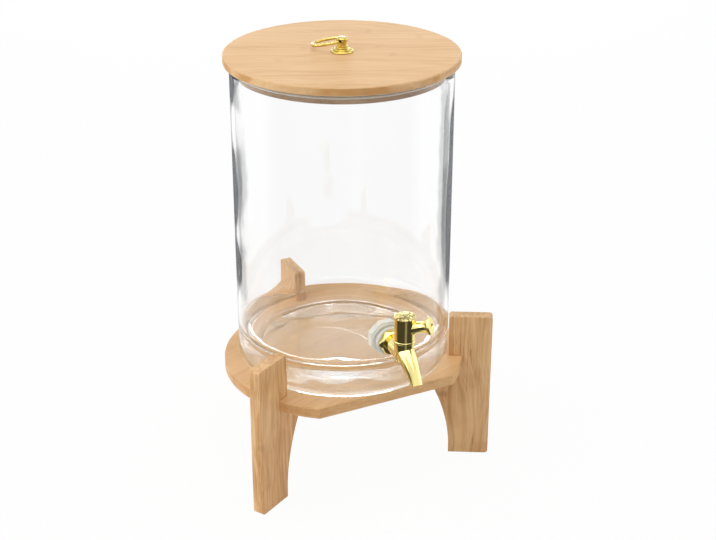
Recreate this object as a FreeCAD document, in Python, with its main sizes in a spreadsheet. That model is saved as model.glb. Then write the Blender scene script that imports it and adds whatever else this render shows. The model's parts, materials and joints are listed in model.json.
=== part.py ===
"""Drink dispenser: a glass jar with a tap, a bamboo lid and a three-legged bamboo stand.

Millimetres, +Z up, the floor at Z = 0 and the tap towards -Y. The origin is the centre of
the dispenser's base rectangle on the floor, so the jar's own axis stands a little behind it.
"""
import FreeCAD, Part
import math
import os
import Sketcher

V = FreeCAD.Vector
TURN = FreeCAD.Rotation

DRIVING_SIZES = [
    ("overcut", 10, "how far a cut runs past what it cuts"),
    # stand
    ("plate_beyond", 14.5, "rim of the round plate beyond the glass"),
    ("plate_thick", 11, "thickness of the plate"),
    ("plate_top", 110, "height of the plate's top above the floor"),
    ("plate_front_back", 9, "flat front of the plate behind the front of the glass"),
    ("plate_edge", 1.2, "rounding of the plate's edges"),
    ("leg_thick", 12, "thickness of a leg board"),
    ("leg_beyond", 28.5, "outer edge of a leg beyond the plate's rim"),
    ("leg_rise", 42.5, "height of a leg above the plate's top"),
    ("leg_foot", 39.5, "width of a leg at the floor"),
    ("leg_foot_straight", 5, "straight part of a leg's inner edge above the floor"),
    ("leg_shoulder", 72, "width of a leg under the plate"),
    ("leg_corner", 3, "rounding of a leg's outline corners"),
    ("leg_edge", 0.8, "rounding along a leg's edges"),
    ("leg_count", 3, "legs round the plate"),
    ("slot_depth", 6.5, "slot in the plate's rim that takes a leg"),
    ("slot_play", 0.15, "play each side of a leg in its slot"),
    # jar
    ("jar_radius", 102, "outside of the glass"),
    ("jar_wall", 4, "thickness of the glass wall"),
    ("jar_high", 295.5, "height of the glass"),
    ("jar_base", 14, "thickness of the glass base at its middle"),
    ("jar_heel", 12, "rounding of the glass at its foot"),
    ("jar_inner_corner", 22, "rounding inside the glass at its base"),
    ("jar_punt", 3.5, "hollow under the glass base"),
    ("jar_rim", 1.4, "rounding of the glass rim"),
    ("jar_play", 1, "play between the glass and the legs"),
    ("jar_turn", -2, "degrees that the jar stands turned in its stand"),
    # lid
    ("lid_overhang", 5.5, "rim of the bamboo lid beyond the glass"),
    ("lid_thick", 7.5, "thickness of the lid"),
    ("lid_edge", 1.2, "rounding of the lid's edges"),
    ("plug_play", 2, "gap between the bamboo disc under the lid and the glass"),
    ("plug_thick", 10, "thickness of that disc"),
    ("gasket_top", 1, "gasket groove below the lid"),
    ("gasket_high", 4.5, "height of the gasket groove"),
    ("gasket_deep", 3, "depth of the gasket groove"),
    ("seal_play", 0.3, "play between a seal and a part that lifts off it"),
    # lid handle
    ("rosette_radius", 10.5, "gold foot of the handle"),
    ("rosette_rim", 1.4, "thickness of the foot's rim"),
    ("rosette_step_radius", 7, "step on the foot"),
    ("rosette_high", 4.6, "height of the foot"),
    ("rosette_seat_beyond", 1.6, "flat top of the foot beyond the neck"),
    ("post_radius", 4.2, "neck of the handle"),
    ("post_collar_beyond", 1, "collar at the neck's foot beyond the neck"),
    ("post_collar_high", 0.8, "height of that collar"),
    ("spigot_radius", 3, "neck's spigot through the foot"),
    ("pivot_high", 10, "height of the ring's pivot above the lid"),
    ("head_radius", 5.2, "rounded head of the neck"),
    ("head_wall", 1, "head above the eye that the ring passes through"),
    ("ring_radius", 15, "middle line of the ring"),
    ("ring_wire", 1.35, "radius of the ring's wire"),
    ("ring_play", 0.3, "play of the ring in its eye"),
    ("ring_slope", 12.3, "degrees that the resting ring slopes down to its far side"),
    ("ring_heading", 121, "degrees from +X that the ring lies towards, before jar_turn"),
    ("handle_screw_radius", 2, "screw that holds the handle"),
    ("handle_screw_grip", 10, "length of the screw inside the neck"),
    ("screw_play", 0.25, "play of a screw in the parts that it passes"),
    ("thread_play", 0.05, "play of a screw in its thread"),
    # tap, on its level axis
    ("tap_high", 59.5, "axis of the tap above the plate"),
    ("stem_radius", 8, "threaded stem of the tap"),
    ("stem_play", 0.5, "play of the stem in the glass"),
    ("stem_tail", 13.5, "stem inside the jar, from the inside of the glass"),
    ("washer_thick", 2.8, "outer and inner washers at their middle"),
    ("washer_radius", 13.4, "outside of the outer washer"),
    ("washer_seat", 0.05, "play between a washer and the glass"),
    ("hex_flats", 22.5, "hexagonal flange across its flats"),
    ("hex_thick", 5.5, "thickness of the flange"),
    ("nut_flats", 31, "nut across its flats"),
    ("nut_thick", 7.5, "thickness of the nut"),
    ("bore_radius", 4.2, "water way through the stem"),
    # tap, round its upright valve
    ("valve_out", 30, "valve's axis from the outside of the glass"),
    ("housing_radius", 9.2, "valve housing"),
    ("housing_rise", 15.5, "top of the housing above the stem's axis"),
    ("collar_radius", 9.7, "ring round the top of the housing"),
    ("collar_high", 2.2, "height of that ring"),
    ("elbow_radius", 9.3, "rounded bottom of the housing"),
    ("plug_way_radius", 5.5, "hole for the valve plug"),
    ("plug_way_drop", 6, "bottom of that hole below the stem's axis"),
    ("running_play", 0.05, "running clearance of the valve plug"),
    ("port_radius", 2.6, "cross port of the plug"),
    ("o_ring_wire", 0.8, "radius of an O-ring's section"),
    ("o_ring_upper", 8.5, "upper O-ring above the stem's axis"),
    ("o_ring_lower", 4.2, "lower O-ring below the stem's axis"),
    ("drive_radius", 3.5, "top of the plug, inside the sleeve"),
    ("drive_long", 11, "length of that top"),
    ("drive_flat", 2.6, "flat on that top, from its axis"),
    # tap, spout
    ("spout_reach", 25.2, "spout's mouth from the valve's axis"),
    ("spout_start_high", 4.2, "start of the spout above the stem's axis"),
    ("spout_start_slope", 30, "degrees below level where the spout starts"),
    ("spout_end_slope", 57, "degrees below level at the spout's mouth"),
    ("spout_root_radius", 8.8, "spout where it leaves the housing"),
    ("spout_tip_radius", 5.6, "spout at its mouth"),
    ("spout_bore_radius", 3.9, "water way through the spout"),
    # tap, handle
    ("sleeve_gap", 0.3, "gap between the housing and the sleeve"),
    ("sleeve_low_radius", 9.4, "bottom of the sleeve"),
    ("sleeve_top_radius", 9.9, "top of the sleeve"),
    ("sleeve_long", 21, "length of the sleeve"),
    ("cap_radius", 10.3, "cap on the sleeve"),
    ("cap_rim", 1.6, "thickness of the cap's rim"),
    ("cap_dome", 1.3, "rise of the cap's middle over its rim"),
    ("cap_groove", 0.45, "radius of a groove in the cap's rim"),
    ("cap_groove_count", 28, "grooves round the cap's rim"),
    ("valve_screw_radius", 1.5, "screw under the cap"),
    ("valve_screw_head", 2.9, "radius of that screw's head"),
    ("valve_screw_grip", 8, "length of that screw inside the plug"),
    ("web_thick", 2, "web of the sleeve that the screw holds down"),
    ("lever_high", 25, "lever's root above the stem's axis"),
    ("lever_slope", 17, "degrees that the lever rises"),
    ("lever_turn", 45, "degrees from the spout round to the lever, from above"),
    ("lever_root_radius", 6.1, "lever where it leaves the sleeve"),
    ("lever_waist_radius", 5, "lever at its waist"),
    ("lever_waist_out", 14.5, "lever's waist from the valve's axis"),
    ("lever_long", 22.6, "lever's end from the valve's axis"),
    ("knob_radius", 8.4, "disc at the lever's end"),
    ("knob_thick", 3.4, "thickness of that disc"),
    ("knob_dimple", 1.5, "radius of the hole in the disc's face"),
]

doc = FreeCAD.newDocument("DrinkDispenser")
sheet = doc.addObject("Spreadsheet::Sheet", "Sizes")
for row, (alias, number, meaning) in enumerate(DRIVING_SIZES, start=1):
    sheet.set("A{}".format(row), str(number))
    sheet.setAlias("A{}".format(row), alias)
    sheet.set("B{}".format(row), meaning)
doc.recompute()


class Size:
    """A size that carries its number and the sheet expression that it stands for."""

    def __init__(self, number, text):
        self.number = float(number)
        self.text = text

    def joined(self, sign, other, number):
        return Size(number, "({} {} {})".format(self.text, sign, other.text))

    def __add__(self, other):
        other = as_size(other)
        return self.joined("+", other, self.number + other.number)

    def __sub__(self, other):
        other = as_size(other)
        return self.joined("-", other, self.number - other.number)

    def __mul__(self, other):
        other = as_size(other)
        return self.joined("*", other, self.number * other.number)

    def __truediv__(self, other):
        other = as_size(other)
        return self.joined("/", other, self.number / other.number)

    def __neg__(self):
        return Size(-self.number, "(-{})".format(self.text))

    def __radd__(self, other):
        return as_size(other) + self

    def __rsub__(self, other):
        return as_size(other) - self

    def __rmul__(self, other):
        return as_size(other) * self


def as_size(value):
    return value if isinstance(value, Size) else Size(value, repr(float(value)))


def given(alias):
    """The named driving size, bound to its cell."""
    return Size(sheet.get(alias), "Sizes.{}".format(alias))


# ---------------------------------------------------------------- sizes worked out from others

overcut = given("overcut")

jar_radius = given("jar_radius")
jar_inside = jar_radius - given("jar_wall")
jar_high = given("jar_high")
jar_turn = given("jar_turn").number

plate_radius = jar_radius + given("plate_beyond")
plate_front = jar_radius - given("plate_front_back")
plate_thick = given("plate_thick")
plate_top = given("plate_top")
plate_under = plate_top - plate_thick
leg_thick = given("leg_thick")
leg_reach = plate_radius + given("leg_beyond")
slot_end = plate_radius - given("slot_depth")
slot_play = given("slot_play")

lid_radius = jar_radius + given("lid_overhang")
lid_thick = given("lid_thick")
plug_radius = jar_inside - given("plug_play")
plug_thick = given("plug_thick")
gasket_top = given("gasket_top")
gasket_low = gasket_top + given("gasket_high")
gasket_root = plug_radius - given("gasket_deep")

ring_radius = given("ring_radius")
ring_wire = given("ring_wire")
ring_play = given("ring_play")
pivot_high = given("pivot_high")
head_radius = given("head_radius")
eye_sag = head_radius * head_radius / (2 * ring_radius)
eye_bore = ring_wire + eye_sag + ring_play
spigot_radius = given("spigot_radius")
handle_screw_radius = given("handle_screw_radius")
handle_screw_way = handle_screw_radius + given("screw_play")

stem_radius = given("stem_radius")
washer_thick = given("washer_thick")
hex_back = jar_radius + washer_thick
hex_front = hex_back + given("hex_thick")
nut_front = jar_inside - washer_thick
nut_back = nut_front - given("nut_thick")
stem_end = jar_inside - given("stem_tail")
valve_out = jar_radius + given("valve_out")
housing_rise = given("housing_rise")
plug_way_radius = given("plug_way_radius")
valve_plug_radius = plug_way_radius - given("running_play")
plug_foot = -given("plug_way_drop") + given("sleeve_gap")
drive_radius = given("drive_radius")
drive_top = housing_rise + given("drive_long")
sleeve_foot = housing_rise + given("sleeve_gap")
sleeve_top = sleeve_foot + given("sleeve_long")
cap_radius = given("cap_radius")

# Shares of the spout's bend at which its section is drawn.
SPOUT_SHARES = (0, 1 / 6, 2 / 6, 3 / 6, 4 / 6, 5 / 6, 1)

spout_turning = (math.sin(math.radians(given("spout_end_slope").number))
                 - math.sin(math.radians(given("spout_start_slope").number)))
spout_bend = given("spout_reach").number / spout_turning


def spout_point(slope):
    """Point of the spout's middle line where it slopes down by so many degrees."""
    start = math.radians(given("spout_start_slope").number)
    here = math.radians(slope)
    out = valve_out.number + spout_bend * (math.sin(here) - math.sin(start))
    high = given("spout_start_high").number + spout_bend * (math.cos(here) - math.cos(start))
    return V(0, -out, high)


def spout_direction(slope):
    """Direction of the flow where the spout slopes down by so many degrees."""
    here = math.radians(slope)
    return V(0, -math.cos(here), -math.sin(here))


def front_reach():
    """Distance from the jar's axis to the foremost point of the spout, along -Y."""
    slope = given("spout_end_slope").number
    across = given("spout_tip_radius").number * math.sin(math.radians(slope))
    turned = math.radians(jar_turn)
    side = given("spout_tip_radius").number * math.sin(abs(turned))
    return (-spout_point(slope).y + across) * math.cos(turned) + side * math.sin(abs(turned))


# The jar's axis stands where the base rectangle's centre falls on the origin.
jar_axis_y = (front_reach() - leg_reach.number) / 2


# ---------------------------------------------------------------- places

def stand_place(turn=0.0):
    """Stand pieces: turned about the jar's axis, standing on the floor."""
    return FreeCAD.Placement(V(0, jar_axis_y, 0), TURN(V(0, 0, 1), turn))


def jar_place(rise=0.0):
    """Jar and lid pieces: on the jar's axis, so far above the plate."""
    high = plate_top.number + rise
    return FreeCAD.Placement(V(0, jar_axis_y, high), TURN(V(0, 0, 1), jar_turn))


def tap_place():
    """Tap pieces: on the jar's axis at the height of the stem, with -Y outwards."""
    return jar_place(given("tap_high").number)


def stem_place():
    """Pieces round the stem: their own +Z points outwards along the stem."""
    return tap_place().multiply(FreeCAD.Placement(V(0, 0, 0), TURN(V(1, 0, 0), 90)))


def valve_place():
    """Turning pieces: +Z up the valve's axis and +X along the lever."""
    heading = given("lever_turn").number - 90
    axis = FreeCAD.Placement(V(0, -valve_out.number, 0), TURN(V(0, 0, 1), heading))
    return tap_place().multiply(axis)


def lid_place(rise=0.0):
    """Lid pieces: their own Z = 0 is the underside of the lid."""
    return jar_place(jar_high.number + rise)


def handle_place(rise=0.0):
    """Handle pieces: on the lid's top, with +X towards the lying ring's far end."""
    heading = TURN(V(0, 0, 1), given("ring_heading").number)
    on_lid = FreeCAD.Placement(V(0, 0, rise), heading)
    return lid_place(lid_thick.number).multiply(on_lid)


# ---------------------------------------------------------------- ways of making a piece

def origin_plane(body, role):
    for feature in body.Origin.OriginFeatures:
        if feature.Role == role:
            return feature
    raise RuntimeError("no plane {}".format(role))


def new_sketch(body, name, role="XZ_Plane", offset=None):
    sketch = body.newObject("Sketcher::SketchObject", name)
    sketch.AttachmentSupport = [(origin_plane(body, role), "")]
    sketch.MapMode = "FlatFace"
    if offset is not None:
        sketch.AttachmentOffset = offset
    return sketch


def hold(sketch, constraint, size):
    """Add a constraint whose value follows the sheet."""
    index = sketch.addConstraint(constraint)
    sketch.setExpression("Constraints[{}]".format(index), size.text)


def arc_between(start, end, radius):
    """Arc from start to end, and whether it runs anticlockwise (a positive radius)."""
    chord = end - start
    left = V(-chord.y, chord.x, 0).normalize()
    depth = math.sqrt(radius ** 2 - (chord.Length / 2) ** 2)
    forwards = radius > 0
    centre = (start + end) / 2 + left * (depth if forwards else -depth)
    first, last = (start, end) if forwards else (end, start)
    circle = Part.Circle(centre, V(0, 0, 1), abs(radius))
    return Part.ArcOfCircle(circle, circle.parameter(first), circle.parameter(last)), forwards


def outline(sketch, corners):
    """Closed outline through the corners (x, y); a third value is the radius of the arc that
    leads to that corner, positive where the arc turns anticlockwise."""
    corners = [tuple(as_size(value) for value in corner) for corner in corners]
    points = [V(corner[0].number, corner[1].number, 0) for corner in corners]
    starts, ends = [], []
    for index, point in enumerate(points):
        following = (index + 1) % len(points)
        target = corners[following]
        if len(target) == 3:
            edge, forwards = arc_between(point, points[following], target[2].number)
            sketch.addGeometry(edge, False)
            radius = target[2] if forwards else -target[2]
            hold(sketch, Sketcher.Constraint("Radius", index, radius.number), radius)
        else:
            forwards = True
            sketch.addGeometry(Part.LineSegment(point, points[following]), False)
        starts.append(1 if forwards else 2)
        ends.append(2 if forwards else 1)
    for index in range(len(points)):
        following = (index + 1) % len(points)
        join = Sketcher.Constraint("Coincident", index, ends[index], following, starts[following])
        sketch.addConstraint(join)
    for index, corner in enumerate(corners):
        for direction, size in zip(("DistanceX", "DistanceY"), corner):
            place = Sketcher.Constraint(direction, -1, 1, index, starts[index], size.number)
            hold(sketch, place, size)
    doc.recompute()
    return sketch


def circle_in(sketch, radius, x=0.0, y=0.0):
    """Circle of the given radius, its centre held at x, y."""
    x, y = as_size(x), as_size(y)
    circle = Part.Circle(V(x.number, y.number, 0), V(0, 0, 1), radius.number)
    index = sketch.addGeometry(circle, False)
    hold(sketch, Sketcher.Constraint("Radius", index, radius.number), radius)
    hold(sketch, Sketcher.Constraint("DistanceX", -1, 1, index, 3, x.number), x)
    hold(sketch, Sketcher.Constraint("DistanceY", -1, 1, index, 3, y.number), y)
    doc.recompute()
    return sketch


def new_body(label):
    body = doc.addObject("PartDesign::Body", label)
    body.Label = label
    return body


def revolve(body, name, corners, role="XZ_Plane", offset=None, axis="V_Axis", cut=False):
    """Turned feature: an outline round the sketch's upright or level axis."""
    sketch = outline(new_sketch(body, name + "_outline", role, offset), corners)
    kind = "PartDesign::Groove" if cut else "PartDesign::Revolution"
    feature = body.newObject(kind, name)
    feature.Profile = sketch
    feature.ReferenceAxis = (sketch, [axis])
    feature.Angle = 360
    doc.recompute()
    return feature


def pad(body, name, sketch, length, midplane=False, reverse=False):
    feature = body.newObject("PartDesign::Pad", name)
    feature.Profile = sketch
    feature.setExpression("Length", length.text)
    feature.Midplane = midplane
    feature.Reversed = reverse
    doc.recompute()
    return feature


def pocket(body, name, sketch, length=None, reverse=False):
    """Cut along the sketch's normal, both ways through everything unless a length is given."""
    before = body.Shape.Volume
    feature = body.newObject("PartDesign::Pocket", name)
    feature.Profile = sketch
    if length is None:
        feature.Type = "ThroughAll"
        feature.Midplane = True
    else:
        feature.setExpression("Length", length.text)
        feature.Reversed = reverse
    doc.recompute()
    if feature.Shape.Volume >= before:
        raise RuntimeError("{} cuts nothing".format(name))
    return feature


def pattern(body, name, original, count):
    """Repeat a feature evenly round the body's Z axis."""
    feature = body.newObject("PartDesign::PolarPattern", name)
    feature.Originals = [original]
    feature.Axis = (origin_plane(body, "Z_Axis"), [""])
    feature.Angle = 360
    feature.setExpression("Occurrences", count.text)
    body.Tip = feature
    doc.recompute()
    return feature


def round_edges(body, name, radius, chosen):
    """Fillet the edges of the body's present shape that the test chooses."""
    base = body.Tip
    edges = base.Shape.Edges
    names = ["Edge{}".format(index + 1) for index, edge in enumerate(edges) if chosen(edge)]
    if not names:
        raise RuntimeError("{} finds no edge".format(name))
    feature = body.newObject("PartDesign::Fillet", name)
    feature.Base = (base, names)
    feature.setExpression("Radius", radius.text)
    doc.recompute()
    return feature


def ring_edge(radius, high):
    """Test for a whole round edge about Z with this radius at this height."""
    def chosen(edge):
        curve = edge.Curve
        if not isinstance(curve, Part.Circle):
            return False
        on_axis = abs(curve.Center.x) < 0.01 and abs(curve.Center.y) < 0.01
        level = abs(edge.BoundBox.ZMin - high.number) < 0.01
        return on_axis and level and abs(curve.Radius - radius.number) < 0.01
    return chosen


def primitive(kind, name, **sizes):
    """Part primitive whose properties follow the sheet."""
    item = doc.addObject(kind, name)
    for key, size in sizes.items():
        item.setExpression(key, as_size(size).text)
    return item


def fused(name, items):
    union = doc.addObject("Part::MultiFuse", name)
    union.Shapes = items
    return union


def cut_from(name, base, tool):
    rest = doc.addObject("Part::Cut", name)
    rest.Base = base
    rest.Tool = tool
    return rest


def upright(point, direction):
    """Placement that stands a piece's own +Z along a direction at a point."""
    return FreeCAD.Placement(point, TURN(V(0, 0, 1), direction))


def hexagon_radius(flats):
    """Corner radius of a hexagon with this distance across its flats."""
    return flats / (2 * math.cos(math.radians(30)))


pieces = []


def finished(item, place):
    """Note a piece of the dispenser and put it in its place."""
    item.Placement = place
    pieces.append(item)
    return item


# ---------------------------------------------------------------- stand

def base_plate():
    body = new_body("base_plate")
    disc = circle_in(new_sketch(body, "disc", "XY_Plane"), plate_radius)
    pad(body, "board", disc, plate_thick)
    beyond = plate_radius + overcut
    strip = outline(new_sketch(body, "front_strip", "XY_Plane"), [
        (-beyond, -beyond),
        (beyond, -beyond),
        (beyond, -plate_front),
        (-beyond, -plate_front),
    ])
    pocket(body, "flat_front", strip)
    half = leg_thick / 2 + slot_play
    gap = outline(new_sketch(body, "leg_gap", "XY_Plane"),
                  [(-half, slot_end), (half, slot_end), (half, beyond), (-half, beyond)])
    first = pocket(body, "leg_slot", gap)
    pattern(body, "leg_slots", first, given("leg_count"))

    def rim(edge):
        level = edge.BoundBox.ZLength < 0.01
        middle = edge.valueAt((edge.FirstParameter + edge.LastParameter) / 2)
        distance = math.hypot(middle.x, middle.y)
        on_rim = abs(distance - plate_radius.number) < 0.01
        on_front = abs(middle.y + plate_front.number) < 0.01
        return level and (on_rim or on_front)

    round_edges(body, "eased_rim", given("plate_edge"), rim)
    finished(body, FreeCAD.Placement(V(0, jar_axis_y, plate_under.number), TURN()))


def leg(label, heading):
    """Board on edge, notched for the plate; it is drawn pointing along +X."""
    body = new_body(label)
    top = plate_top + given("leg_rise")
    inner = jar_radius + given("jar_play")
    notch = slot_end + slot_play
    foot = leg_reach - given("leg_foot")
    shoulder = leg_reach - given("leg_shoulder")
    straight = given("leg_foot_straight")
    rise = plate_under - straight
    lean = foot - shoulder
    sweep = (rise * rise + lean * lean) / (2 * lean)
    board = outline(new_sketch(body, "board_outline"), [
        (foot, 0),
        (leg_reach, 0),
        (leg_reach, top),
        (inner, top),
        (inner, plate_top + slot_play),
        (notch, plate_top + slot_play),
        (notch, plate_under),
        (shoulder, plate_under),
        (foot, straight, -sweep),
    ])
    pad(body, "board", board, leg_thick, midplane=True)

    def outer_corner(edge):
        box = edge.BoundBox
        across = box.YLength > 1 and box.XLength < 0.01 and box.ZLength < 0.01
        at_outer = abs(box.XMin - leg_reach.number) < 0.01
        at_top = abs(box.ZMin - top.number) < 0.01
        return across and (at_outer or at_top)

    round_edges(body, "rounded_corners", given("leg_corner"), outer_corner)

    def long_edge(edge):
        box = edge.BoundBox
        on_face = abs(abs(box.YMin) - leg_thick.number / 2) < 0.01
        return on_face and box.YLength < 0.01

    round_edges(body, "eased_edges", given("leg_edge"), long_edge)
    finished(body, stand_place(heading))


# ---------------------------------------------------------------- jar

def glass_jar():
    body = new_body("glass_jar")
    base = given("jar_base")
    foot_radius = jar_radius - given("jar_heel") * 1.5
    revolve(body, "glass", [
        (0, given("jar_punt")),
        (foot_radius, 0),
        (jar_radius, 0),
        (jar_radius, jar_high),
        (jar_inside, jar_high),
        (jar_inside, base),
        (0, base),
    ])
    round_edges(body, "heel", given("jar_heel"), ring_edge(jar_radius, as_size(0)))
    round_edges(body, "inner_corner", given("jar_inner_corner"), ring_edge(jar_inside, base))
    for radius in (jar_radius, jar_inside):
        round_edges(body, "rim", given("jar_rim"), ring_edge(radius, jar_high))
    hole = circle_in(new_sketch(body, "tap_hole", "XZ_Plane"),
                     stem_radius + given("stem_play"), 0, given("tap_high"))
    pocket(body, "tap_opening", hole, jar_radius + overcut, reverse=True)
    finished(body, jar_place())


# ---------------------------------------------------------------- lid and its handle

def lid_board():
    body = new_body("lid_board")
    disc = circle_in(new_sketch(body, "disc", "XY_Plane"), lid_radius)
    circle_in(disc, handle_screw_way)
    pad(body, "board", disc, lid_thick)
    for high in (as_size(0), lid_thick):
        round_edges(body, "eased_edge", given("lid_edge"), ring_edge(lid_radius, high))
    finished(body, lid_place())


def lid_plug():
    body = new_body("lid_plug")
    revolve(body, "disc", [
        (handle_screw_way, -plug_thick),
        (plug_radius, -plug_thick),
        (plug_radius, -gasket_low),
        (gasket_root, -gasket_low),
        (gasket_root, -gasket_top),
        (plug_radius, -gasket_top),
        (plug_radius, 0),
        (handle_screw_way, 0),
    ])
    finished(body, lid_place())


def lid_gasket():
    """Silicone ring with two lips that wipe the inside of the glass."""
    body = new_body("lid_gasket")
    play = given("thread_play") * 2
    inner = gasket_root + play
    lip = jar_inside - given("seal_play")
    valley = plug_radius + play
    top = gasket_top + play
    low = gasket_low - play
    middle = (top + low) / 2
    spread = (low - top) / 4
    revolve(body, "lips", [
        (inner, -low),
        (valley, -low),
        (lip, -middle - spread * 1.3),
        (lip, -middle - spread * 0.7),
        (valley, -middle),
        (lip, -middle + spread * 0.7),
        (lip, -middle + spread * 1.3),
        (valley, -top),
        (inner, -top),
    ])
    finished(body, lid_place())


def handle_rosette():
    """Stepped foot of the handle: a rim, a hollow sweep, a step and a flat seat."""
    body = new_body("handle_rosette")
    radius = given("rosette_radius")
    rim = given("rosette_rim")
    step = given("rosette_step_radius")
    high = given("rosette_high")
    seat = given("post_radius") + given("rosette_seat_beyond")
    step_low = rim + (high - rim) * 0.35
    step_top = rim + (high - rim) * 0.65
    bore = spigot_radius + given("thread_play")
    revolve(body, "foot", [
        (bore, 0),
        (radius, 0),
        (radius, rim * 0.5),
        (radius - rim * 0.5, rim, rim * 0.5),
        (step * 1.12, rim),
        (step, step_low, -radius * 0.6),
        (step, step_top),
        (seat, high),
        (bore, high),
    ])
    finished(body, handle_place())


def handle_post():
    """Neck with a spigot through the foot and a round head, bored across for the ring."""
    body = new_body("handle_post")
    seat = given("rosette_high")
    neck = given("post_radius")
    wall = given("head_wall")
    head_top = pivot_high + eye_bore + wall
    corner = head_radius * 0.35
    shoulder = head_radius - corner
    crown = wall * 0.4
    crown_radius = (shoulder * shoulder + crown * crown) / (2 * crown)
    collar = neck + given("post_collar_beyond")
    collar_high = given("post_collar_high")
    screw_way = handle_screw_radius + given("thread_play")
    revolve(body, "neck", [
        (0, given("handle_screw_grip") * 0.6),
        (screw_way, given("handle_screw_grip") * 0.6),
        (screw_way, given("thread_play")),
        (spigot_radius, given("thread_play")),
        (spigot_radius, seat),
        (collar, seat),
        (collar, seat + collar_high),
        (neck, seat + collar_high * 1.5),
        (neck * 0.95, pivot_high - ring_wire),
        (head_radius, pivot_high),
        (head_radius, head_top - crown - corner),
        (shoulder, head_top - crown, corner),
        (0, head_top, crown_radius),
    ])
    way = circle_in(new_sketch(body, "ring_way"), eye_bore, 0, pivot_high)
    pocket(body, "eye_bore", way)
    finished(body, handle_place())


def handle_ring():
    """Ring through the eye, sloping down to its far side just above the lid."""
    ring = primitive("Part::Torus", "handle_ring", Radius1=ring_radius, Radius2=ring_wire)
    swing = TURN(V(0, 1, 0), given("ring_slope").number)
    centre = swing.multVec(V(ring_radius.number, 0, 0))
    in_eye = FreeCAD.Placement(centre + V(0, 0, pivot_high.number), swing)
    finished(ring, handle_place().multiply(in_eye))


def handle_washer():
    body = new_body("handle_washer")
    thick = handle_screw_radius / 2
    revolve(body, "disc", [
        (handle_screw_way, 0),
        (handle_screw_radius * 3, 0),
        (handle_screw_radius * 3, thick),
        (handle_screw_way, thick),
    ])
    finished(body, lid_place(-plug_thick.number - thick.number))


def handle_screw():
    """Pan head below the washer, its shank up through plug and lid into the neck."""
    body = new_body("handle_screw")
    below = plug_thick + handle_screw_radius / 2
    head = handle_screw_radius * 2
    head_high = handle_screw_radius * 1.2
    tip = lid_thick + given("handle_screw_grip") * 0.5
    revolve(body, "shank_and_head", [
        (0, -below - head_high),
        (head * 0.6, -below - head_high),
        (head, -below - head_high * 0.4, head),
        (head, -below),
        (handle_screw_radius, -below),
        (handle_screw_radius, tip - handle_screw_radius * 0.25),
        (handle_screw_radius * 0.75, tip),
        (0, tip),
    ])
    finished(body, lid_place())


# ---------------------------------------------------------------- tap

def spout_ring(radius, centre, slope):
    """Circle across the spout where it slopes down by so many degrees."""
    ring = Part.Wire([Part.makeCircle(radius)])
    ring.Placement = FreeCAD.Placement(centre, TURN(V(1, 0, 0), 90 + slope))
    return ring


def spout_loft(name, root_radius, tip_radius, first_slope, beyond=0.0):
    """Round tube along the spout's bend, easing from its root to its tip radius."""
    last_slope = given("spout_end_slope").number
    rings = []
    for share in SPOUT_SHARES:
        slope = first_slope + (last_slope - first_slope) * share
        easing = (1 + math.cos(math.pi * share)) / 2
        radius = tip_radius + (root_radius - tip_radius) * easing
        rings.append(spout_ring(radius, spout_point(slope), slope))
    if beyond:
        mouth = spout_point(last_slope) + spout_direction(last_slope) * beyond
        rings.append(spout_ring(tip_radius, mouth, last_slope))
    item = doc.addObject("Part::Feature", name)
    item.Shape = Part.makeLoft(rings, True, False)
    return item


def tap_body():
    """Stem, hexagonal flange, valve housing and spout in one moulding."""
    out = V(0, -1, 0)
    axis = V(0, -valve_out.number, 0)
    start_slope = given("spout_start_slope").number

    stem = primitive("Part::Cylinder", "tap_stem", Radius=stem_radius, Height=valve_out - stem_end)
    stem.Placement = upright(out * stem_end.number, out)
    flange = primitive("Part::Prism", "tap_flange", Height=given("hex_thick"),
                       Circumradius=hexagon_radius(given("hex_flats")))
    flange.Polygon = 6
    flange.Placement = upright(out * hex_back.number, out)
    bevel_cone = primitive("Part::Cone", "tap_flange_bevel", Height=given("hex_thick"),
                           Radius1=hexagon_radius(given("hex_flats")) * 1.08,
                           Radius2=given("hex_flats") / 2 * 0.93)
    bevel_cone.Placement = flange.Placement
    bevelled = doc.addObject("Part::Common", "tap_bevelled_flange")
    bevelled.Base = flange
    bevelled.Tool = bevel_cone
    housing = primitive("Part::Cylinder", "tap_housing", Height=housing_rise,
                        Radius=given("housing_radius"))
    housing.Placement = upright(axis, V(0, 0, 1))
    collar = primitive("Part::Cylinder", "tap_collar", Height=given("collar_high"),
                       Radius=given("collar_radius"))
    collar_foot = (housing_rise - given("collar_high")).number
    collar.Placement = upright(axis + V(0, 0, collar_foot), V(0, 0, 1))
    elbow = primitive("Part::Sphere", "tap_elbow", Radius=given("elbow_radius"))
    elbow.Placement = upright(axis, V(0, 0, 1))
    spout = spout_loft("tap_spout", given("spout_root_radius").number,
                       given("spout_tip_radius").number, start_slope)
    solid = fused("tap_solid", [stem, bevelled, housing, collar, elbow, spout])

    water_way = primitive("Part::Cylinder", "tap_water_way", Radius=given("bore_radius"),
                          Height=valve_out - stem_end + overcut)
    water_way.Placement = upright(out * (stem_end - overcut).number, out)
    plug_way = primitive("Part::Cylinder", "tap_plug_way", Radius=plug_way_radius,
                         Height=housing_rise + given("plug_way_drop") + overcut)
    plug_way.Placement = upright(axis - V(0, 0, given("plug_way_drop").number), V(0, 0, 1))
    mouth_radius = given("spout_bore_radius").number
    mouth = spout_loft("tap_mouth", mouth_radius, mouth_radius, start_slope,
                       beyond=mouth_radius)
    ways = fused("tap_ways", [water_way, plug_way, mouth])

    item = cut_from("tap_body", solid, ways)
    doc.recompute()
    finished(item, tap_place())


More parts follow.
